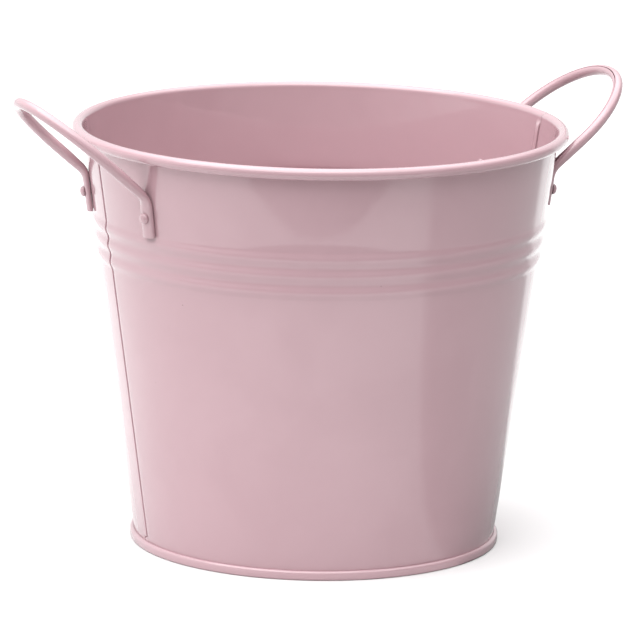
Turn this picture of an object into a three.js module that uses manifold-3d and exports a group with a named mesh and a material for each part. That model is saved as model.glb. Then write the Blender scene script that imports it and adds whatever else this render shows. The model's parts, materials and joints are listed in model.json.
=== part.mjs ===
// Florist bucket: a small tapered sheet-metal pail with a curled rim, three pressed beads,
// a seamed foot and two riveted side handles. Millimetres, +Z up, the handles on the X axis,
// origin at the middle of the foot.
import * as THREE from 'three';
import { mergeVertices } from 'three/addons/utils/BufferGeometryUtils.js';
import Module from 'manifold-3d';

// ---- driving dimensions ----
const height = 161.5;            // floor to the top of the rim
const footWallRadius = 69;       // outside of the wall at the foot
const rimWallRadius = 91.2;      // outside of the wall, carried on up to the rim's height
const sheet = 0.5;               // wall and pan thickness
const gap = 0.3;                 // clearance between neighbouring pieces

const curlRadius = 2.2;          // rim curl, outside
const curlSweep = 315;           // degrees of curl, from the wall over the top and back under
const curlSteps = 11;

const beadCount = 3;
const beadPitch = 6.4;
const topBeadHeight = 125.7;
const beadRelief = 0.7;
const beadSteps = 3;             // facets across each bead

const footHeight = 3.6;          // the seamed ring at the foot
const footRadius = 71;
const floorHeight = 5;           // top of the recessed floor

const seamFoot = -1.3;           // degrees from the handle axis to the lap's outer edge, at the floor
const seamLean = -0.017;         // degrees that the edge turns for each millimetre of height
const lapLength = 1.6;           // degrees of tongue tucked behind that edge
const joggleLength = 1.5;        // degrees over which the sheet steps inwards
const lapBottom = 5.6;           // the lap's outer edge runs between these heights
const lapTop = 156.5;
const gridStep = 7.5;            // degrees, shared by every round piece

const stripThickness = 0.45;
const loopDiameter = 4.1;        // the strip rolled to a C
const loopHalfWidth = 28.5;      // handle axis to the middle of each leg
const loopReach = 45.5;          // along the loop's slope, from where its line crosses the root
const loopStraight = 13.2;       // the straight part of that reach
const loopRoot = new THREE.Vector2(88, 146);   // a point on the loop's line: X and Z
const earHalfWidth = 3;
const earHalfDepth = 1.5;
const earStandoff = 1.2;         // wall surface to the middle of the flattened section
const slotHalfAngle = 8;         // degrees, the C's slot along the loop
const earSlotHalfAngle = 55;     // degrees, the C opened towards the wall at the ears

const rivetHeadRadius = 2.1;
const rivetHeadHeight = 1.4;
const rivetShankRadius = 1.2;
const rivetTailRadius = 1.8;
const rivetTailHeight = 0.9;

const handles = [
  { side: 'left', turn: 180, tilt: 41.5, rivetHeight: 136.1, earBottom: 128.4 },
  { side: 'right', turn: 0, tilt: 38.7, rivetHeight: 135.8, earBottom: 129.7 },
];

// ---- worked out from them ----
const taper = (rimWallRadius - footWallRadius) / height;
const wallLean = Math.atan(taper);
const wallRadius = (z) => footWallRadius + taper * z;
const uprightMiddle = wallRadius(footHeight) - sheet / 2;   // the wall inside the foot ring
const seamEdge = (z) => seamFoot + seamLean * z;
const earAngle = Math.asin(loopHalfWidth / (wallRadius(loopRoot.y) + earStandoff));

const enamel = new THREE.MeshStandardMaterial({ color: '#d6b0b9', roughness: 0.22, metalness: 0 });
const bucket = new THREE.Group();
const wasm = await Module();
wasm.setup();

function addMesh(name, geometry, parent = bucket) {
  const mesh = new THREE.Mesh(geometry, enamel);
  mesh.name = name;
  parent.add(mesh);
  return mesh;
}

// ---- solids that are cut ----
const mergeDistance = 1e-4;
function toSolid(geometry) {
  const bare = geometry.clone();
  bare.deleteAttribute('normal');
  bare.deleteAttribute('uv');
  const merged = mergeVertices(bare, mergeDistance);
  return new wasm.Manifold(new wasm.Mesh({
    numProp: 3,
    vertProperties: new Float32Array(merged.attributes.position.array),
    triVerts: new Uint32Array(merged.index.array),
  }));
}

function toGeometry(solid) {
  const mesh = solid.getMesh();
  const geometry = new THREE.BufferGeometry();
  geometry.setAttribute('position', new THREE.BufferAttribute(mesh.vertProperties, 3));
  geometry.setIndex(new THREE.BufferAttribute(mesh.triVerts, 1));
  geometry.computeVertexNormals();
  return geometry;
}

function cutAway(geometry, cutters) {
  return toGeometry(cutters.reduce((solid, cutter) => solid.subtract(toSolid(cutter)), toSolid(geometry)));
}

// ---- shared shape helpers ----

// the closed outline of a bent sheet, from the line along its middle
const sharpestMitre = 0.5;
function thicken(middle, thickness) {
  const side = (sign) => middle.map((point, i) => {
    const before = middle[Math.max(i - 1, 0)];
    const after = middle[Math.min(i + 1, middle.length - 1)];
    const into = point.clone().sub(before).normalize();
    const away = after.clone().sub(point).normalize();
    const first = i === 0 ? away : into;
    const second = i === middle.length - 1 ? into : away;
    const mitre = new THREE.Vector2(-first.y - second.y, first.x + second.x).normalize();
    const reach = 1 / Math.max(mitre.dot(new THREE.Vector2(-first.y, first.x)), sharpestMitre);
    return point.clone().addScaledVector(mitre, sign * reach * thickness / 2);
  });
  return [...side(1), ...side(-1).reverse()];
}

// a sheet's outline carried through a number of stations, each corner put in its place; the ends
// are closed from one face of the sheet to the other
function sweep(outline, stationCount, place) {
  const ring = outline.length;
  const corners = [];
  for (let i = 0; i < stationCount; i += 1) {
    outline.forEach(({ x, y }) => corners.push(...place(x, y, i).toArray()));
  }
  const triangles = [];
  const addQuad = (a, b, c, d) => triangles.push(a, b, c, a, c, d);
  for (let start = 0; start < (stationCount - 1) * ring; start += ring) {
    for (let j = 0; j < ring; j += 1) {
      const next = (j + 1) % ring;
      addQuad(start + j, start + ring + j, start + ring + next, start + next);
    }
  }
  const last = (stationCount - 1) * ring;
  for (let j = 0; j < ring / 2 - 1; j += 1) {
    const across = ring - 1 - j;
    addQuad(j, j + 1, across - 1, across);
    addQuad(last + across, last + across - 1, last + j + 1, last + j);
  }
  const geometry = new THREE.BufferGeometry();
  geometry.setAttribute('position', new THREE.Float32BufferAttribute(corners, 3));
  geometry.setIndex(triangles);
  return geometry;
}

function aroundAxis(radius, degrees, z) {
  const angle = THREE.MathUtils.degToRad(degrees);
  return new THREE.Vector3(radius * Math.cos(angle), radius * Math.sin(angle), z);
}

// ---- wall panels ----
const flangeHeight = 2 * gap + sheet;                       // middle of the flange under the wall
const hookTop = footHeight - sheet - 2 * gap;
const hookMiddle = footRadius - 1.5 * sheet - gap;
const joggleRun = 1.1;                                      // height over which a tucked row steps inwards

function wallMiddle() {
  const middle = (z, proud = 0) => new THREE.Vector2(wallRadius(z) - sheet / 2 + proud, z);
  const points = [
    new THREE.Vector2(hookMiddle, hookTop),
    new THREE.Vector2(hookMiddle, flangeHeight),
    new THREE.Vector2(uprightMiddle, flangeHeight),
    new THREE.Vector2(uprightMiddle, footHeight + gap),
    middle(lapBottom - joggleRun),
    middle(lapBottom),
  ];
  const lowestBead = topBeadHeight - beadPitch * (beadCount - 0.5);
  for (let i = 0; i <= beadCount * beadSteps; i += 1) {
    const phase = (i / beadSteps) * 2 * Math.PI;
    const z = lowestBead + (i / beadSteps) * beadPitch;
    points.push(middle(z, (beadRelief / 2) * (1 - Math.cos(phase))));
  }
  points.push(middle(lapTop), middle(lapTop + joggleRun));
  const curlCentreHeight = height - curlRadius;
  const curlMiddle = curlRadius - sheet / 2;
  const curlCentre = middle(curlCentreHeight).add(new THREE.Vector2(curlMiddle, 0));
  for (let i = 0; i <= curlSteps; i += 1) {
    const angle = THREE.MathUtils.degToRad(180 - (i / curlSteps) * curlSweep);
    points.push(new THREE.Vector2(
      curlCentre.x + curlMiddle * Math.cos(angle),
      curlCentre.y + curlMiddle * Math.sin(angle),
    ));
  }
  return points;
}

// stations run backwards round the bucket: the lap's outer strip, the grid, then the step and the
// tongue; those with an offset are measured from the leaning edge of their own or the next panel
const clearance = THREE.MathUtils.radToDeg(gap / rimWallRadius);
const tuckDepth = sheet + gap;
function panelStations() {
  const stations = [{ offset: 0 }, { offset: -lapLength }];
  for (let angle = -gridStep; angle > -180; angle -= gridStep) {
    stations.push({ angle });
  }
  stations.push({ offset: clearance + joggleLength - 180 });
  stations.push({ offset: clearance - 180, tucked: true });
  stations.push({ offset: clearance - lapLength - 180, tucked: true });
  return stations;
}

// only the rows between the lap's ends step inwards, so the curl and the foot meet edge to edge
function placeOnPanel(r, z, station) {
  const angle = station.angle ?? seamEdge(z) + station.offset;
  const margin = joggleRun / 2;
  const isLapRow = z > lapBottom - margin && z < lapTop + margin;
  return aroundAxis(station.tucked && isLapRow ? r - tuckDepth : r, angle, z);
}

// a block that clears the lap's outer strip away between two heights
function stripBlock(lowest, highest) {
  const reach = 2 * footRadius;
  const width = 3 * THREE.MathUtils.degToRad(lapLength) * rimWallRadius;   // more than the strip's
  const block = new THREE.BoxGeometry(reach, width, highest - lowest);
  block.translate(reach / 2, width / 2, (lowest + highest) / 2);
  block.rotateZ(THREE.MathUtils.degToRad(seamEdge((lowest + highest) / 2) - lapLength));
  return block;
}

// where a rivet goes through: its point on the wall's outside and the way it points outwards
function rivetSeat(handle, sign) {
  const angle = handle.turn + sign * THREE.MathUtils.radToDeg(earAngle);
  const out = aroundAxis(Math.cos(wallLean), angle, -Math.sin(wallLean));
  return { point: aroundAxis(wallRadius(handle.rivetHeight), angle, handle.rivetHeight), out };
}

const holeLength = 16;
const holeSides = 16;
function rivetHole(seat) {
  const radius = rivetShankRadius + gap;
  const hole = new THREE.CylinderGeometry(radius, radius, holeLength, holeSides);
  hole.applyQuaternion(new THREE.Quaternion().setFromUnitVectors(new THREE.Vector3(0, 1, 0), seat.out));
  hole.translate(seat.point.x, seat.point.y, seat.point.z);
  return hole;
}

const wallOutline = thicken(wallMiddle(), sheet);
const stations = panelStations();
const wallSweep = sweep(wallOutline, stations.length, (r, z, i) => placeOnPanel(r, z, stations[i]));
const halfWall = cutAway(wallSweep, [stripBlock(lapTop - gap, height + 1), stripBlock(-1, lapBottom + gap)]);

for (const [name, turn] of [['wall_panel_front', 0], ['wall_panel_back', Math.PI]]) {
  const panel = halfWall.clone().rotateZ(turn);
  const holes = handles.flatMap((handle) => [-1, 1].map((sign) => rivetHole(rivetSeat(handle, sign))));
  addMesh(name, cutAway(panel, holes));
}

// ---- base pan ----
const sinkRadius = uprightMiddle - sheet - gap;
const panMiddle = [
  [0, floorHeight - sheet / 2],
  [sinkRadius, floorHeight - sheet / 2],
  [sinkRadius, sheet / 2],
  [footRadius - sheet / 2, sheet / 2],
  [footRadius - sheet / 2, footHeight - sheet / 2],
  [uprightMiddle + sheet / 2 + gap, footHeight - sheet / 2],
].map(([r, z]) => new THREE.Vector2(r, z));
const pan = new THREE.LatheGeometry(thicken(panMiddle, sheet).reverse(), 360 / gridStep);
pan.rotateX(Math.PI / 2);
addMesh('base_pan', pan);

// ---- handles ----

// half a handle's line, ear first, with the way its slot faces and how far it is flattened
const bendReach = 3;
const cornerFlatness = 0.4;
const legFlatness = 0.1;
function handleLine(handle) {
  const tilt = THREE.MathUtils.degToRad(handle.tilt);
  const along = new THREE.Vector3(Math.cos(tilt), 0, Math.sin(tilt));
  const loopSlot = new THREE.Vector3(-Math.sin(tilt), 0, Math.cos(tilt));
  const earSlot = new THREE.Vector3(-Math.cos(earAngle), -Math.sin(earAngle), 0);
  const earPoint = (z) => aroundAxis(wallRadius(z) + earStandoff, THREE.MathUtils.radToDeg(earAngle), z);

  // the ear's line meets the loop's line at the bend
  const slope = 1 / Math.tan(tilt);
  const earX = (footWallRadius + earStandoff) * Math.cos(earAngle);
  const earSlope = taper * Math.cos(earAngle);
  const bendHeight = (earX - loopRoot.x + slope * loopRoot.y) / (slope - earSlope);
  const bend = earPoint(bendHeight);

  const root = new THREE.Vector3(loopRoot.x, 0, loopRoot.y);
  const onLoop = (s, y) => root.clone().addScaledVector(along, s).setY(y);
  const legStart = (bend.x - loopRoot.x) / along.x;
  const line = [];
  const add = (point, slot, flatness) => line.push({ point, slot: slot.clone(), flatness });

  const earSteps = 3;
  const earTop = bendHeight - bendReach;
  for (let i = 0; i <= earSteps; i += 1) {
    add(earPoint(THREE.MathUtils.lerp(handle.earBottom, earTop, i / earSteps)), earSlot, 1);
  }
  const legBottom = onLoop(legStart + bendReach, bend.y);
  const corner = new THREE.QuadraticBezierCurve3(earPoint(earTop), bend, legBottom);
  const cornerSteps = 4;
  for (let i = 1; i <= cornerSteps; i += 1) {
    const t = i / cornerSteps;
    add(corner.getPoint(t), earSlot.clone().lerp(loopSlot, t), THREE.MathUtils.lerp(1, cornerFlatness, t));
  }
  add(onLoop((legStart + bendReach + loopStraight) / 2, loopHalfWidth), loopSlot, legFlatness);
  const arcSteps = 9;
  for (let i = 0; i < arcSteps; i += 1) {
    const angle = (i / arcSteps) * (Math.PI / 2);
    const s = loopStraight + (loopReach - loopStraight) * Math.sin(angle);
    add(onLoop(s, loopHalfWidth * Math.cos(angle)), loopSlot, 0);
  }
  return line;
}

function handleStations(handle) {
  const half = handleLine(handle);
  const mirrored = half.map(({ point, slot, flatness }) => ({
    point: point.clone().setY(-point.y), slot: slot.clone().setY(-slot.y), flatness,
  }));
  const tilt = THREE.MathUtils.degToRad(handle.tilt);
  const apexX = loopRoot.x + loopReach * Math.cos(tilt);
  const apexZ = loopRoot.y + loopReach * Math.sin(tilt);
  const apex = {
    point: new THREE.Vector3(apexX, 0, apexZ),
    slot: half[half.length - 1].slot,
    flatness: 0,
  };
  const line = [...half, apex, ...mirrored.reverse()];
  return line.map(({ point, slot, flatness }, i) => {
    const before = line[Math.max(i - 1, 0)].point;
    const after = line[Math.min(i + 1, line.length - 1)].point;
    const tangent = after.clone().sub(before).normalize();
    const back = slot.clone().addScaledVector(tangent, -slot.dot(tangent)).normalize().negate();
    const across = back.clone().cross(tangent);
    return { point, back, across, flatness };
  });
}

// the rolled strip's section: a C that opens downwards, its two faces drawn as arcs
const sectionSteps = 8;
function stripOutline() {
  const outer = loopDiameter / 2;
  const inner = outer - stripThickness;
  const arc = (radius) => Array.from({ length: sectionSteps + 1 }, (_, i) => {
    const angle = THREE.MathUtils.degToRad((2 * i / sectionSteps - 1) * (180 - slotHalfAngle));
    return new THREE.Vector2(radius * Math.sin(angle), radius * Math.cos(angle));
  });
  return [...arc(outer), ...arc(inner).reverse()];
}

// a corner of the section, with the C flattened and opened as far as a station asks
function stripCorner(x, y, flatness) {
  const { lerp, degToRad } = THREE.MathUtils;
  const halfWidth = lerp(loopDiameter / 2, earHalfWidth, flatness);
  const halfDepth = lerp(loopDiameter / 2, earHalfDepth, flatness);
  const fullAngle = degToRad(180 - slotHalfAngle);
  const openAngle = degToRad(180 - lerp(slotHalfAngle, earSlotHalfAngle, flatness));
  const angle = (Math.atan2(x, y) / fullAngle) * openAngle;
  const face = new THREE.Vector2(halfWidth * Math.sin(angle), halfDepth * Math.cos(angle));
  const isInner = Math.hypot(x, y) < (loopDiameter - stripThickness) / 2;
  if (isInner) {
    const normal = new THREE.Vector2(Math.sin(angle) / halfWidth, Math.cos(angle) / halfDepth).normalize();
    face.addScaledVector(normal, -stripThickness);
  }
  return face;
}

for (const handle of handles) {
  const line = handleStations(handle);
  const strip = sweep(stripOutline(), line.length, (x, y, i) => {
    const { point, back, across, flatness } = line[i];
    const corner = stripCorner(x, y, flatness);
    return point.clone().addScaledVector(across, corner.x).addScaledVector(back, corner.y);
  });
  strip.rotateZ(THREE.MathUtils.degToRad(handle.turn));
  const holes = [-1, 1].map((sign) => rivetHole(rivetSeat(handle, sign)));
  addMesh(`handle_${handle.side}`, cutAway(strip, holes));
}

// ---- rivets ----
const headBase = earStandoff + earHalfDepth + gap;    // out from the wall's outside
const tailBase = -sheet - gap;
const rivetSides = 12;
const domeSteps = 3;
function rivetGeometry() {
  const profile = new THREE.Path();
  profile.moveTo(0, tailBase - rivetTailHeight);
  profile.quadraticCurveTo(rivetTailRadius, tailBase - rivetTailHeight, rivetTailRadius, tailBase);
  profile.lineTo(rivetShankRadius, tailBase);
  profile.lineTo(rivetShankRadius, headBase);
  profile.lineTo(rivetHeadRadius, headBase);
  profile.quadraticCurveTo(rivetHeadRadius, headBase + rivetHeadHeight, 0, headBase + rivetHeadHeight);
  return new THREE.LatheGeometry(profile.getPoints(domeSteps), rivetSides);
}

for (const handle of handles) {
  for (const sign of [-1, 1]) {
    const seat = rivetSeat(handle, sign);
    const end = seat.point.y < 0 ? 'front' : 'back';
    const rivet = addMesh(`rivet_${handle.side}_${end}`, rivetGeometry());
    rivet.quaternion.setFromUnitVectors(new THREE.Vector3(0, 1, 0), seat.out);
    rivet.position.copy(seat.point);
  }
}

export default bucket;
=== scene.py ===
import json
import math
import bmesh
import bpy
from mathutils import Matrix, Vector, noise

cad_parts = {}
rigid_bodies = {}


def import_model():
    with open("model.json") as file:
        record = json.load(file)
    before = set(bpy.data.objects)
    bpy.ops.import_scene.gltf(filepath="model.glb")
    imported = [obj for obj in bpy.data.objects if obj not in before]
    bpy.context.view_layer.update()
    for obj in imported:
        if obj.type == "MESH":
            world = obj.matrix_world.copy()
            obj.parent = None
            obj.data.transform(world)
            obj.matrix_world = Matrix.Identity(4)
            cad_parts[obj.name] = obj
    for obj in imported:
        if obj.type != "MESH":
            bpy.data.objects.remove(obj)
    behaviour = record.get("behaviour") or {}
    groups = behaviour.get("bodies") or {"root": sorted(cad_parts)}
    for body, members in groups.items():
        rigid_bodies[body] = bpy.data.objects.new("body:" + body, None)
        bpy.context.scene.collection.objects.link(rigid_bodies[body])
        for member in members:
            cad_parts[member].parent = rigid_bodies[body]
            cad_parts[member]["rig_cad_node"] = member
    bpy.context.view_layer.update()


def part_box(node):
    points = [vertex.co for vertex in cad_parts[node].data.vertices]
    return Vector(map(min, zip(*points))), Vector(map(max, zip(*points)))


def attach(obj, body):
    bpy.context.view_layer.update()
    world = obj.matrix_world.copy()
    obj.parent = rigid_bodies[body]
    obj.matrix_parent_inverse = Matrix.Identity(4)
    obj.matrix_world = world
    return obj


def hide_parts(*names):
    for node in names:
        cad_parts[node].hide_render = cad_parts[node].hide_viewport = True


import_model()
mm = 0.001

# A small tin bucket in pink stove enamel. Everything is in metres, the handles lie along X and
# the foot stands on z = 0. The overall sizes are read off the frame, the rest is in the
# dictionaries beside each piece.
wallLow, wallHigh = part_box("wall_panel_front")
panLow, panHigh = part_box("base_pan")
bucket = {
    "height": wallHigh.z,
    "rimOuter": -wallLow.y,        # outside of the curl
    "footRadius": -panLow.y,       # outside of the seam round the foot
    "footHeight": 3.6 * mm,
    "floorHeight": panHigh.z,      # top of the recessed floor
    "sheet": 0.5 * mm,
    "fit": 0.06 * mm,              # between two sheets pressed together
}
sheet = bucket["sheet"]

curl = {"radius": 2.2 * mm, "sweep": 315, "steps": 30}
footWallRadius = bucket["footRadius"] - 4 * sheet
curlRoot = bucket["rimOuter"] - 2 * curl["radius"] + sheet
taper = (curlRoot - footWallRadius) / (bucket["height"] - curl["radius"])
wallLean = math.atan(taper)
print("frame read: height", round(bucket["height"] / mm, 1), "rim", round(bucket["rimOuter"] / mm, 1))


def wallRadius(z):
    return footWallRadius + taper * z


def aroundAxis(radius, degrees, z):
    angle = math.radians(degrees)
    return Vector((radius * math.cos(angle), radius * math.sin(angle), z))


def steps(first, last, count):
    return [first + (last - first) * i / count for i in range(count + 1)]


def blend(first, second, share):
    return first + (second - first) * share


# working tools: select, draw, turn, finish

def clearSelection():
    if bpy.context.object and bpy.context.object.mode != "OBJECT":
        bpy.ops.object.mode_set(mode="OBJECT")
    bpy.ops.object.select_all(action="DESELECT")


def pick(piece):
    clearSelection()
    piece.select_set(True)
    bpy.context.view_layer.objects.active = piece


def drawLine(name, points):
    # one vertex, then extruded from point to point; it stays in edit mode, all selected
    clearSelection()
    bpy.ops.mesh.primitive_plane_add(size=mm)
    piece = bpy.context.object
    piece.name = name
    piece.data.name = name
    bpy.ops.object.mode_set(mode="EDIT")
    bpy.ops.mesh.select_mode(type="VERT")
    bpy.ops.mesh.merge(type="CENTER")
    bpy.ops.transform.translate(value=points[0])
    for before, after in zip(points, points[1:]):
        bpy.ops.mesh.extrude_region_move(TRANSFORM_OT_translate={"value": after - before})
    bpy.ops.mesh.select_all(action="SELECT")
    return piece


def turnSelected(degrees):
    angle = -math.radians(degrees)
    bpy.ops.transform.rotate(value=angle, orient_axis="Z", center_override=(0, 0, 0))


def spinSelected(count, degrees=360):
    bpy.ops.mesh.spin(steps=count, angle=math.radians(degrees), center=(0, 0, 0), axis=(0, 0, 1))


def extrudeRound(degrees, count, change=None):
    # the selected edges run on round the axis; change(share) may then move each new row
    bpy.ops.mesh.select_mode(type="EDGE")
    for share in steps(0, 1, count)[1:]:
        bpy.ops.mesh.extrude_edges_move()
        turnSelected(degrees / count)
        if change:
            change(share)


def moveSelected(piece, place):
    # place(point) gives every selected vertex its new place
    shape = bmesh.from_edit_mesh(piece.data)
    for vertex in shape.verts:
        if vertex.select:
            vertex.co = place(vertex.co)
    bmesh.update_edit_mesh(piece.data)


def selectWhere(piece, test):
    bpy.ops.mesh.select_mode(type="VERT")
    shape = bmesh.from_edit_mesh(piece.data)
    for vertex in shape.verts:
        vertex.select = test(vertex.co)
    shape.select_flush_mode()
    bmesh.update_edit_mesh(piece.data)


def closeSkin(mergeDistance=0.01 * mm):
    bpy.ops.mesh.select_all(action="SELECT")
    bpy.ops.mesh.remove_doubles(threshold=mergeDistance)
    bpy.ops.mesh.normals_make_consistent(inside=False)
    bpy.ops.object.mode_set(mode="OBJECT")


def addModifier(piece, kind, **settings):
    pick(piece)
    modifier = piece.modifiers.new(kind.title(), kind)
    for name, value in settings.items():
        setattr(modifier, name, value)
    bpy.ops.object.modifier_apply(modifier=modifier.name)


def thickenSheet(piece, thickness, softness):
    # the sheet's thickness to both sides, then the cut edges broken
    addModifier(piece, "SOLIDIFY", thickness=thickness, offset=0, use_even_offset=True)
    addModifier(piece, "BEVEL", width=softness, segments=2, limit_method="ANGLE",
                angle_limit=math.radians(50), use_clamp_overlap=True)


def smooth(piece, degrees=40):
    pick(piece)
    bpy.ops.object.shade_smooth_by_angle(angle=math.radians(degrees))


def copyPiece(piece, name, move):
    pick(piece)
    bpy.ops.object.duplicate(linked=False)
    twin = bpy.context.object
    twin.name = name
    twin.data.name = name
    twin.data.transform(move)
    return twin


def settle(piece, node):
    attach(piece, "root")
    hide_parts(node)


# Wall panels: one sheet drawn in profile and spun half round. Its last few degrees are stepped
# inwards and tucked behind the next panel, and its first few are wall only, so that the rim and
# the foot meet edge to edge.

wall = {
    "hookTop": 2.6 * mm,             # the hook that the base pan's seam holds
    "hookBend": 0.5 * mm,
    "rowHeight": 3.5 * mm,
    "beads": 3,
    "beadPitch": 6.4 * mm,
    "topBead": 125.7 * mm,
    "beadRelief": 0.7 * mm,
    "beadRows": 10,
    "seamFoot": -1.3,                # degrees, the lap's outer edge at the floor
    "seamLean": -17,                 # degrees that it turns for each metre of height
    "lap": 1.6,                      # degrees that the sheets overlap
    "lapRows": 3,
    "joggle": 1.0,                   # degrees over which one steps behind the other
    "joggleRows": 5,
    "buttGap": 0.05,                 # degrees between the two ends of the curl
    "columns": 150,
    "lapLow": 5.2 * mm,
    "lapHigh": 156.5 * mm,
    "lapFade": 1.2 * mm,             # height over which the step dies out above and below
    "fadeRows": 3,
    "waveSize": 38 * mm,
    "waviness": 0.05 * mm,
    "edgeSoftness": 0.1 * mm,
}


def wallMiddle(z, proud=0):
    return Vector((wallRadius(z) - sheet / 2 + proud, 0, z))


def seamAngle(z):
    return wall["seamFoot"] + wall["seamLean"] * z


def wallProfile():
    hook = bucket["footRadius"] - 1.5 * sheet - bucket["fit"]
    upright = wallMiddle(bucket["footHeight"]).x
    flange = 1.5 * sheet + 1.5 * bucket["fit"]
    bend = wall["hookBend"]
    points = [Vector((hook, 0, z)) for z in steps(wall["hookTop"], flange + bend, 2)]
    points += [Vector((r, 0, flange)) for r in (hook - bend / 2, upright + bend / 2)]
    points += [Vector((upright, 0, z)) for z in steps(flange + bend, bucket["footHeight"], 2)]
    fade, fadeRows = wall["lapFade"], wall["fadeRows"]
    points += [wallMiddle(z) for z in steps(wall["lapLow"] - fade, wall["lapLow"], fadeRows)]
    lowestBead = wall["topBead"] - wall["beadPitch"] * (wall["beads"] - 0.5)
    rows = round((lowestBead - wall["lapLow"]) / wall["rowHeight"])
    points += [wallMiddle(z) for z in steps(wall["lapLow"], lowestBead, rows)[1:-1]]
    beadTop = lowestBead + wall["beads"] * wall["beadPitch"]
    for z in steps(lowestBead, beadTop, wall["beads"] * wall["beadRows"]):
        phase = 2 * math.pi * (z - lowestBead) / wall["beadPitch"]
        points.append(wallMiddle(z, wall["beadRelief"] * (1 - math.cos(phase)) / 2))
    rows = round((wall["lapHigh"] - beadTop) / wall["rowHeight"])
    points += [wallMiddle(z) for z in steps(beadTop, wall["lapHigh"], rows)[1:]]
    points += [wallMiddle(z) for z in steps(wall["lapHigh"], wall["lapHigh"] + fade, fadeRows)[1:]]
    curlMiddle = curl["radius"] - sheet / 2
    centre = wallMiddle(bucket["height"] - curl["radius"], curlMiddle)
    for angle in steps(180, 180 - curl["sweep"], curl["steps"]):
        turned = Vector((math.cos(math.radians(angle)), 0, math.sin(math.radians(angle))))
        points.append(centre + curlMiddle * turned)
    return points


def ease(share):
    share = min(1, max(0, share))
    return share * share * (3 - 2 * share)


def lapShare(z):
    # 1 along the lap, 0 at the curl and the foot
    aboveLow = ease((z - wall["lapLow"]) / wall["lapFade"] + 1)
    belowHigh = ease((wall["lapHigh"] - z) / wall["lapFade"] + 1)
    return aboveLow * belowHigh


def makeWallPanel():
    panel = drawLine("wallPanelFront", wallProfile())
    lap, joggle = wall["lap"], wall["joggle"]
    moveSelected(panel, lambda point: aroundAxis(point.x, seamAngle(point.z) - lap, point.z))
    bpy.ops.mesh.select_mode(type="EDGE")
    body = 180 - wall["buttGap"] - joggle - lap
    spinSelected(wall["columns"], body)
    stepDepth = sheet + bucket["fit"]

    def tuckIn(share):
        depth = stepDepth * (ease(share) - ease(share - 1 / wall["joggleRows"]))

        def inwards(point):
            flat = Vector((point.x, point.y, 0))
            shrink = 1 - depth * lapShare(point.z) / math.hypot(point.x, point.y)
            return flat * shrink + Vector((0, 0, point.z))
        moveSelected(panel, inwards)

    extrudeRound(-joggle, wall["joggleRows"], tuckIn)
    extrudeRound(-lap, wall["lapRows"])
    heightSlack = 0.01 * mm
    angleSlack = wall["buttGap"] / 5

    def isLapEdge(point):
        away = math.degrees(math.atan2(point.y, point.x)) - (seamAngle(point.z) - lap)
        lapHeight = wall["lapLow"] - heightSlack < point.z < wall["lapHigh"] + heightSlack
        return abs(away) < angleSlack and lapHeight
    selectWhere(panel, isLapEdge)
    extrudeRound(lap, wall["lapRows"])
    closeSkin()
    return panel


def waver(piece, size, depth):
    # pressed sheet is never quite true: a slow in-and-out of a few hundredths of a millimetre
    for vertex in piece.data.vertices:
        out = Vector((vertex.co.x, vertex.co.y, 0)).normalized()
        vertex.co += out * depth * noise.noise(vertex.co / size)


panelFront = makeWallPanel()
panelBack = copyPiece(panelFront, "wallPanelBack", Matrix.Rotation(math.pi, 4, "Z"))
for panel, node in [(panelFront, "wall_panel_front"), (panelBack, "wall_panel_back")]:
    waver(panel, wall["waveSize"], wall["waviness"])
    thickenSheet(panel, sheet, wall["edgeSoftness"])
    smooth(panel)
    settle(panel, node)
print("wall panels made")


# Base pan: a recessed floor, a countersink and the seam that grips the wall's hook.

pan = {
    "cornerRadius": 0.9 * mm,
    "innerCornerRadius": 0.6 * mm,
    "floorRings": 8,
    "floorMargin": 6 * mm,           # from the last ring to the countersink
    "columns": 192,
    "edgeSoftness": 0.12 * mm,
}


def roundCorner(before, corner, after, radius, count=5):
    # the points of an arc that takes the place of a sharp corner
    into = (corner - before).normalized()
    away = (after - corner).normalized()
    half = into.angle(away) / 2
    start = corner - into * radius * math.tan(half)
    centre = start + (away - into * into.dot(away)).normalized() * radius
    normal = into.cross(away).normalized()
    turns = [Matrix.Rotation(2 * half * t, 3, normal) for t in steps(0, 1, count)]
    return [centre + turn @ (start - centre) for turn in turns]


def panProfile():
    floor = bucket["floorHeight"] - sheet / 2
    top = bucket["footHeight"] - sheet / 2
    bottom = sheet / 2
    upright = wallMiddle(bucket["footHeight"]).x
    sink = upright - sheet - 2 * bucket["fit"]
    outside = bucket["footRadius"] - sheet / 2
    lip = upright + sheet / 2 + bucket["fit"]
    corners = [Vector((r, 0, z)) for r, z in [
        (0, floor), (sink, floor), (sink, bottom), (outside, bottom), (outside, top), (lip, top),
    ]]
    wide, tight = pan["cornerRadius"], pan["innerCornerRadius"]
    radii = [wide, tight, tight, wide]
    points = [Vector((r, 0, floor)) for r in steps(0, sink - pan["floorMargin"], pan["floorRings"])]
    for i, radius in enumerate(radii):
        points += roundCorner(corners[i], corners[i + 1], corners[i + 2], radius)
    return points + [corners[-1]]


basePan = drawLine("basePan", panProfile())
spinSelected(pan["columns"])
closeSkin()
thickenSheet(basePan, sheet, pan["edgeSoftness"])
smooth(basePan)
settle(basePan, "base_pan")
print("base pan made")


# Handles: a strip rolled to a C, bent to a loop, its two ends pressed flat for the rivets.

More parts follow.
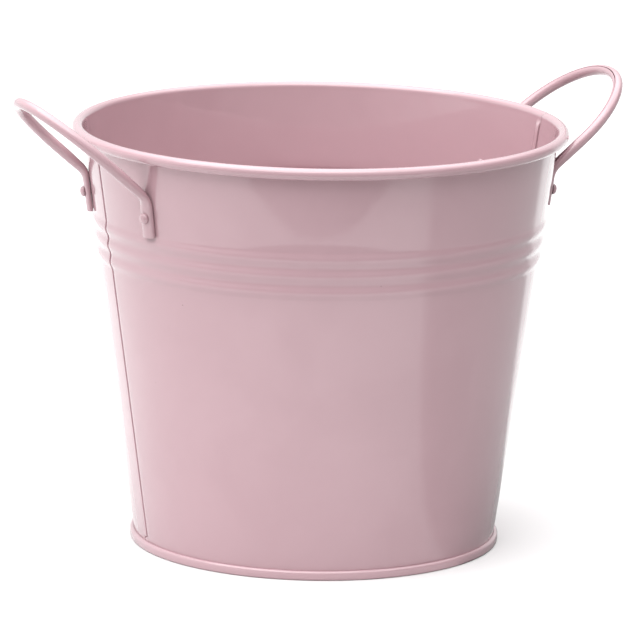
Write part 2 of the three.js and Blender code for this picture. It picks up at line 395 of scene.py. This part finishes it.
loop = {
    "diameter": 4.1 * mm,
    "strip": 0.45 * mm,
    "halfWidth": 28.5 * mm,
    "reach": 45.5 * mm,
    "straight": 13.2 * mm,
    "root": (88 * mm, 146 * mm),     # a point on the loop's line: along X and Z
    "slot": 4,                       # half angle of the C's opening, degrees
    "earSlot": 55,                   # the same where the strip is pressed flat
    "earHalfWidth": 3 * mm,
    "earHalfDepth": 1.5 * mm,
    "earStandoff": 0.95 * mm,
    "bend": 3 * mm,
    "cornerFlatness": 0.4,
    "sectionSteps": 22,
    "earRows": 10,
    "bendRows": 8,
    "legRows": 6,
    "roundRows": 26,
    "edgeSoftness": 0.09 * mm,
}
handles = [
    {"side": "left", "turn": 180, "tilt": 41.5, "earBottom": 128.4 * mm, "rivet": 136.1 * mm},
    {"side": "right", "turn": 0, "tilt": 38.7, "earBottom": 129.7 * mm, "rivet": 135.8 * mm},
]
earRadius = wallRadius(loop["root"][1]) + loop["earStandoff"]
earAngle = math.degrees(math.asin(loop["halfWidth"] / earRadius))


def handleLine(handle):
    # half the loop, ear first: place, the way the slot faces, how far the C is pressed flat
    tilt = math.radians(handle["tilt"])
    loopSlot = Vector((-math.sin(tilt), 0, math.cos(tilt)))
    earSlot = -aroundAxis(1, earAngle, 0)
    rootX, rootZ = loop["root"]

    def earPoint(z):
        return aroundAxis(wallRadius(z) + loop["earStandoff"], earAngle, z)

    def onLoop(s, y):
        return Vector((rootX + math.cos(tilt) * s, y, rootZ + math.sin(tilt) * s))

    # the ear's line meets the loop's line at the bend
    slope = 1 / math.tan(tilt)
    cosEar = math.cos(math.radians(earAngle))
    bendHeight = (footWallRadius + loop["earStandoff"]) * cosEar - rootX + slope * rootZ
    bendHeight /= slope - taper * cosEar
    bend = earPoint(bendHeight)
    legStart = (bend.x - rootX) / math.cos(tilt)
    earTop = bendHeight - loop["bend"]
    earHeights = steps(handle["earBottom"], earTop, loop["earRows"])
    line = [(earPoint(z), earSlot, 1) for z in earHeights]
    bendStart, bendEnd = earPoint(earTop), onLoop(legStart + loop["bend"], bend.y)
    for t in steps(0, 1, loop["bendRows"])[1:]:
        place = bendStart * (1 - t) ** 2 + bend * 2 * t * (1 - t) + bendEnd * t ** 2
        line.append((place, earSlot.lerp(loopSlot, t), blend(1, loop["cornerFlatness"], t)))
    for share in steps(0, 1, loop["legRows"])[1:-1]:
        s = blend(legStart + loop["bend"], loop["straight"], share)
        flat = loop["cornerFlatness"] * (1 - share) ** 2
        line.append((onLoop(s, blend(bend.y, loop["halfWidth"], share)), loopSlot, flat))
    for angle in steps(0, math.pi / 2, loop["roundRows"]):
        s = blend(loop["straight"], loop["reach"], math.sin(angle))
        line.append((onLoop(s, loop["halfWidth"] * math.cos(angle)), loopSlot, 0))
    return line


def mirrored(point):
    return Vector((point.x, -point.y, point.z))


def handleStations(handle):
    half = handleLine(handle)
    line = list(half)
    for place, slot, flat in reversed(half[:-1]):
        line.append((mirrored(place), mirrored(slot), flat))
    stations = []
    for i, (place, slot, flat) in enumerate(line):
        before = line[max(i - 1, 0)][0]
        after = line[min(i + 1, len(line) - 1)][0]
        tangent = (after - before).normalized()
        back = -(slot - tangent * slot.dot(tangent)).normalized()
        stations.append((place, back, back.cross(tangent), flat))
    return stations


def sectionPoint(t, flat):
    # t runs -1 to 1 along the strip's width
    angle = t * math.radians(180 - blend(loop["slot"], loop["earSlot"], flat))
    width = blend(loop["diameter"] / 2, loop["earHalfWidth"], flat)
    depth = blend(loop["diameter"] / 2, loop["earHalfDepth"], flat)
    outer = Vector((width * math.sin(angle), depth * math.cos(angle)))
    normal = Vector((math.sin(angle) / width, math.cos(angle) / depth)).normalized()
    return outer - normal * loop["strip"] / 2


def stripRing(station):
    place, back, across, flat = station
    section = [sectionPoint(t, flat) for t in steps(-1, 1, loop["sectionSteps"])]
    return [place + across * point.x + back * point.y for point in section]


def makeHandle(handle):
    name = "handle" + handle["side"].title()
    rings = [stripRing(station) for station in handleStations(handle)]
    piece = drawLine(name, rings[0])
    bpy.ops.mesh.select_mode(type="EDGE")
    for previous, ring in zip(rings, rings[1:]):
        bpy.ops.mesh.extrude_edges_move()

        def onward(point):
            nearest = min(range(len(previous)), key=lambda k: (previous[k] - point).length_squared)
            return ring[nearest]
        moveSelected(piece, onward)
    closeSkin(0.001 * mm)
    thickenSheet(piece, loop["strip"], loop["edgeSoftness"])
    piece.data.transform(Matrix.Rotation(math.radians(handle["turn"]), 4, "Z"))
    smooth(piece)
    settle(piece, "handle_" + handle["side"])


for handle in handles:
    makeHandle(handle)
print("handles made, ears at", round(earAngle, 2), "degrees")


# Rivets: a snap head outside, a shank through ear and wall, a clenched tail inside.

rivet = {
    "headRadius": 2.1 * mm,
    "headHeight": 1.4 * mm,
    "shankRadius": 1.2 * mm,
    "tailRadius": 1.6 * mm,
    "tailHeight": 0.5 * mm,
    "rimHeight": 0.12 * mm,          # the upright edge under each dome
    "sides": 40,
    "headRows": 10,
    "tailRows": 7,
    "smoothBelow": 50,               # degrees
}


def dome(radius, height, base, first, last, count):
    angles = [math.radians(angle) for angle in steps(first, last, count)]
    return [Vector((radius * math.cos(a), 0, base + height * math.sin(a))) for a in angles]


def rivetProfile():
    headBase = loop["earStandoff"] + loop["earHalfDepth"] + bucket["fit"]
    tailBase = -sheet - bucket["fit"]
    edge = rivet["rimHeight"]
    tail = dome(rivet["tailRadius"], rivet["tailHeight"], tailBase - edge, -90, 0, rivet["tailRows"])
    head = dome(rivet["headRadius"], rivet["headHeight"], headBase + edge, 0, 90, rivet["headRows"])
    shank = [Vector((r, 0, z)) for r, z in [
        (rivet["tailRadius"], tailBase), (rivet["shankRadius"], tailBase),
        (rivet["shankRadius"], headBase), (rivet["headRadius"] - edge / 2, headBase),
    ]]
    return tail + shank + head


def rivetPlace(handle, sign):
    angle = handle["turn"] + sign * earAngle
    out = aroundAxis(math.cos(wallLean), angle, -math.sin(wallLean))
    seat = aroundAxis(wallRadius(handle["rivet"]), angle, handle["rivet"])
    return Matrix.Translation(seat) @ out.to_track_quat("Z", "Y").to_matrix().to_4x4()


patternRivet = drawLine("rivetPattern", rivetProfile())
spinSelected(rivet["sides"])
closeSkin()
smooth(patternRivet, rivet["smoothBelow"])
for handle in handles:
    for sign in (-1, 1):
        seat = rivetPlace(handle, sign)
        side = handle["side"]
        end = "front" if seat.translation.y < 0 else "back"
        piece = copyPiece(patternRivet, f"rivet{side.title()}{end.title()}", seat)
        settle(piece, f"rivet_{side}_{end}")
bpy.data.objects.remove(patternRivet)
print("rivets made")


class NodeBench:
    # adds nodes to one tree and hands back their outputs
    # a value is a number, a colour or another node's output
    def __init__(self, tree):
        self.nodes = tree.nodes
        self.links = tree.links

    def feed(self, socket, value):
        if isinstance(value, bpy.types.NodeSocket):
            self.links.new(value, socket)
        else:
            socket.default_value = value

    def calculate(self, operation, *values):
        node = self.nodes.new("ShaderNodeMath")
        node.operation = operation
        for socket, value in zip(node.inputs, values):
            self.feed(socket, value)
        return node.outputs["Value"]

    def along(self, source, direction):
        node = self.nodes.new("ShaderNodeVectorMath")
        node.operation = "DOT_PRODUCT"
        node.inputs[1].default_value = direction
        self.feed(node.inputs[0], source)
        return node.outputs["Value"]

    def fade(self, source, start, end, low=0.0, high=1.0):
        node = self.nodes.new("ShaderNodeMapRange")
        node.interpolation_type = "SMOOTHSTEP"
        node.inputs["From Min"].default_value = start
        node.inputs["From Max"].default_value = end
        node.inputs["To Min"].default_value = low
        node.inputs["To Max"].default_value = high
        self.feed(node.inputs["Value"], source)
        return node.outputs["Result"]

    def noiseAt(self, place, size, detail=2, distortion=0):
        node = self.nodes.new("ShaderNodeTexNoise")
        node.inputs["Scale"].default_value = 1 / size
        node.inputs["Detail"].default_value = detail
        node.inputs["Distortion"].default_value = distortion
        self.feed(node.inputs["Vector"], place)
        return node.outputs["Fac"]

    def mix(self, share, first, second, kind="RGBA"):
        node = self.nodes.new("ShaderNodeMix")
        node.data_type = kind
        self.feed(node.inputs["Factor"], share)
        self.feed(node.inputs["A"], first)
        self.feed(node.inputs["B"], second)
        return node.outputs["Result"]

    def bump(self, height, strength, distance, under=None):
        node = self.nodes.new("ShaderNodeBump")
        node.inputs["Strength"].default_value = strength
        node.inputs["Distance"].default_value = distance
        self.feed(node.inputs["Height"], height)
        if under:
            self.feed(node.inputs["Normal"], under)
        return node.outputs["Normal"]


# Enamel: one glossy pink coat over everything, darker where the metal turns sharply: edge wear where
# the coat is thinned over an edge, and painted shade in the creases.

enamel = {
    "light": (0.52, 0.335, 0.37, 1),
    "deep": (0.50, 0.318, 0.352, 1),
    "wornEdgeAndCreaseShade": (0.360, 0.230, 0.250, 1),      # where the coat is thinned over an edge, and painted shade in the creases
    "speck": (0.250, 0.160, 0.170, 1),
    "refraction": 1.5,
    "coat": 0.9,
    "coatRoughness": 0.03,
    "driftSize": 45 * mm,                  # slow drift from the light pink to the deep one
    "driftDetail": 3,
    "driftWarp": 0.4,
    "driftBand": (0.35, 0.65),             # part of the noise over which it changes
    "sharpTurn": (20, 50),                 # degrees of turn at which the edge wear and the painted crease shade begin and are complete
    "wearAndShadeSize": 5 * mm,                    # patches in which the worn edges and the painted crease shade show
    "wearAndShadeDetail": 3,
    "wearAndShadeBand": (0.45, 0.65),
    "mostWearAndShade": 0.6,
    "speckSpacing": 16 * mm,
    "speckEdge": (0.012, 0.02),            # as a share of the spacing
    "mostSpeck": 0.8,
    "roughness": (0.16, 0.24),
    "glossSize": 11 * mm,                  # patches of more and less gloss
    "glossDetail": 4,
    "glossBand": (0.3, 0.7),
    "peelSize": 1.3 * mm,
    "peelStrength": 0.12,
    "peelDepth": 0.05 * mm,
    "rippleSize": 7 * mm,
    "rippleStrength": 0.2,
    "rippleDepth": 0.1 * mm,
}


def markEdges(piece):
    # a number from 0 to 1 on every vertex: how sharply the surface turns there, over edges and in
    # creases alike; it places the edge wear and the painted crease shade
    begins, complete = (math.radians(turn) for turn in enamel["sharpTurn"])
    shape = bmesh.new()
    shape.from_mesh(piece.data)
    layer = shape.verts.layers.float.new("edgeWearAndCreaseShade")
    for vertex in shape.verts:
        sharpest = max((edge.calc_face_angle(0) for edge in vertex.link_edges), default=0)
        vertex[layer] = min(1, max(0, (sharpest - begins) / (complete - begins)))
    shape.to_mesh(piece.data)
    shape.free()


def makeEnamel(name):
    material = bpy.data.materials.new(name)
    material.use_nodes = True
    bench = NodeBench(material.node_tree)
    shader = material.node_tree.nodes["Principled BSDF"]
    place = bench.nodes.new("ShaderNodeTexCoord").outputs["Object"]

    cloud = bench.noiseAt(place, enamel["driftSize"], enamel["driftDetail"], enamel["driftWarp"])
    drift = bench.fade(cloud, *enamel["driftBand"])
    body = bench.mix(drift, enamel["light"], enamel["deep"])

    wearAndShadeMask = bench.nodes.new("ShaderNodeAttribute")
    wearAndShadeMask.attribute_name = "edgeWearAndCreaseShade"
    patchy = bench.noiseAt(place, enamel["wearAndShadeSize"], enamel["wearAndShadeDetail"])
    patches = bench.fade(patchy, *enamel["wearAndShadeBand"], 0.0, enamel["mostWearAndShade"])
    # painted shade: this mask darkens creases as well as worn edges, so part of the darker enamel is
    # shade painted into the colour
    wornAndShaded = bench.calculate("MULTIPLY", wearAndShadeMask.outputs["Fac"], patches)
    edged = bench.mix(wornAndShaded, body, enamel["wornEdgeAndCreaseShade"])

    dots = bench.nodes.new("ShaderNodeTexVoronoi")
    dots.inputs["Scale"].default_value = 1 / enamel["speckSpacing"]
    bench.feed(dots.inputs["Vector"], place)
    specks = bench.fade(dots.outputs["Distance"], *enamel["speckEdge"], enamel["mostSpeck"], 0.0)
    bench.feed(shader.inputs["Base Color"], bench.mix(specks, edged, enamel["speck"]))

    gloss = bench.noiseAt(place, enamel["glossSize"], enamel["glossDetail"])
    roughness = bench.fade(gloss, *enamel["glossBand"], *enamel["roughness"])
    bench.feed(shader.inputs["Roughness"], roughness)
    fine = bench.noiseAt(place, enamel["peelSize"])
    peel = bench.bump(fine, enamel["peelStrength"], enamel["peelDepth"])
    coarse = bench.noiseAt(place, enamel["rippleSize"])
    ripple = bench.bump(coarse, enamel["rippleStrength"], enamel["rippleDepth"], peel)
    bench.feed(shader.inputs["Normal"], ripple)
    bench.feed(shader.inputs["Coat Normal"], ripple)
    shader.inputs["IOR"].default_value = enamel["refraction"]
    shader.inputs["Coat Weight"].default_value = enamel["coat"]
    shader.inputs["Coat Roughness"].default_value = enamel["coatRoughness"]
    return material


pinkEnamel = makeEnamel("pinkEnamel")
meshes = [item for item in bpy.data.objects if item.type == "MESH"]
for piece in [item for item in meshes if "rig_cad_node" not in item]:
    markEdges(piece)
    piece.data.materials.clear()
    piece.data.materials.append(pinkEnamel)
print("enamel made")


# Camera, floor and light.

view = {
    "azimuth": -25.5,
    "elevation": 12.21,
    "distance": 2306 * mm,
    "lens": 338,
    "roll": 1.01,
    "centreHeight": bucket["height"] / 2,
    "aimRight": 1.03 * mm,
    "aimUp": 4.01 * mm,
    "sensor": 36,
    "farthest": 100,
}
azimuth, elevation = math.radians(view["azimuth"]), math.radians(view["elevation"])
flatBack = Vector((math.sin(azimuth), -math.cos(azimuth), 0))
towardsCamera = flatBack * math.cos(elevation) + Vector((0, 0, math.sin(elevation)))
cameraRight = Vector((math.cos(azimuth), math.sin(azimuth), 0))
cameraUp = towardsCamera.cross(cameraRight)

aim = Vector((0, 0, view["centreHeight"]))
aim += cameraRight * view["aimRight"] + cameraUp * view["aimUp"]
clearSelection()
bpy.ops.object.camera_add(location=aim + towardsCamera * view["distance"])
camera = bpy.context.object
camera.name = "camera"
turned = Matrix((cameraRight, cameraUp, towardsCamera)).transposed()
camera.rotation_euler = (turned @ Matrix.Rotation(math.radians(view["roll"]), 3, "Z")).to_euler()
camera.data.lens = view["lens"]
camera.data.sensor_width = view["sensor"]
camera.data.clip_end = view["farthest"]
bpy.context.scene.camera = camera

stageFloor = {"sides": 96, "radius": 8}
clearSelection()
bpy.ops.mesh.primitive_circle_add(
    vertices=stageFloor["sides"], radius=stageFloor["radius"], fill_type="NGON")
floor = bpy.context.object
floor.name = "floor"

# one soft box, placed by how far it is to the camera's right, towards it, and up
key = {"place": (-0.45, 0.5, 1.5), "aim": (0, 0, 0.09), "size": 1.8, "power": 17}


def studioPlace(place):
    side, front, up = place
    return cameraRight * side + flatBack * front + Vector((0, 0, up))


keyPlace = studioPlace(key["place"])
bpy.ops.object.light_add(type="AREA", location=keyPlace)
lamp = bpy.context.object
lamp.name = "keyLeft"
lamp.rotation_euler = (keyPlace - studioPlace(key["aim"])).to_track_quat("Z", "Y").to_euler()
lamp.data.size = key["size"]
lamp.data.energy = key["power"]

# the room: a bright ceiling, light walls on the left and behind, a dark stretch on the right
room = {
    "ceiling": 2.72,
    "ceilingFrom": 0.45,     # sine of the height above the horizon at which it begins
    "ceilingFull": 0.90,
    "middle": 0.40,
    "leftExtra": 0.85,       # added towards the left, squared so that it stays at the side
    "behindExtra": 0.45,     # added towards the back
    "darkFrom": 52,          # degrees to the right of the camera
    "darkTo": 134,
    "edge": 6,
    "darkLeft": 0.35,        # what is left of the light in that stretch
}


def darkStretch(bench, toRight, toFront):
    # 1 - darkLeft in that stretch, falling to 0 at its edges
    radians = bench.calculate("ARCTAN2", toRight, toFront)
    around = bench.calculate("MULTIPLY", radians, 180 / math.pi)
    halfEdge = room["edge"] / 2
    pastStart = bench.fade(around, room["darkFrom"] - halfEdge, room["darkFrom"] + halfEdge)
    beforeEnd = bench.fade(around, room["darkTo"] + halfEdge, room["darkTo"] - halfEdge)
    inside = bench.calculate("MULTIPLY", pastStart, beforeEnd)
    return bench.calculate("MULTIPLY", inside, 1 - room["darkLeft"])


world = bpy.data.worlds.new("studio")
bpy.context.scene.world = world
world.use_nodes = True
bench = NodeBench(world.node_tree)
background = world.node_tree.nodes["Background"]
sky = bench.nodes.new("ShaderNodeTexCoord").outputs["Generated"]
toRight, toFront = bench.along(sky, cameraRight), bench.along(sky, flatBack)
toLeft = bench.calculate("MAXIMUM", bench.along(sky, -cameraRight), 0.0)
toBack = bench.calculate("MAXIMUM", bench.along(sky, -flatBack), 0.0)
sideways = bench.calculate("POWER", toLeft, 2.0)
leftward = bench.calculate("MULTIPLY_ADD", sideways, room["leftExtra"], room["middle"])
soft = bench.calculate("MULTIPLY_ADD", toBack, room["behindExtra"], leftward)
walls = bench.mix(darkStretch(bench, toRight, toFront), soft, 0.0, "FLOAT")
overhead = bench.fade(bench.along(sky, (0, 0, 1)), room["ceilingFrom"], room["ceilingFull"])
bench.feed(background.inputs["Strength"], bench.mix(overhead, walls, room["ceiling"], "FLOAT"))
background.inputs["Color"].default_value = (1, 1, 1, 1)

# the paper is white wherever it is looked at, but what the enamel mirrors of it, and the light
# that it sends back, are weaker past the table's front edge and in the dark stretch
table = {
    "white": 0.77,
    "mirrored": 0.64,
    "beyond": 0.16,          # past the front edge and in the dark stretch
    "front": 342 * mm,
    "edge": 12 * mm,
    "roughness": 0.9,
    "shine": 0.1,
}
paper = bpy.data.materials.new("whitePaper")
paper.use_nodes = True
bench = NodeBench(paper.node_tree)
paperShader = paper.node_tree.nodes["Principled BSDF"]
paperShader.inputs["Roughness"].default_value = table["roughness"]
paperShader.inputs["Specular IOR Level"].default_value = table["shine"]
ground = bench.nodes.new("ShaderNodeTexCoord").outputs["Object"]
toRight, toFront = bench.along(ground, cameraRight), bench.along(ground, flatBack)
pastFront = bench.fade(toFront, table["front"], table["front"] + table["edge"])
offTable = bench.calculate("MAXIMUM", pastFront, darkStretch(bench, toRight, toFront))
seen = bench.nodes.new("ShaderNodeLightPath").outputs["Is Camera Ray"]
reflected = bench.mix(offTable, table["mirrored"], table["beyond"], "FLOAT")
bench.feed(paperShader.inputs["Base Color"], bench.mix(seen, reflected, table["white"], "FLOAT"))
floor.data.materials.append(paper)
bpy.context.scene.view_settings.view_transform = "Standard"
print("floor, lights and camera set")
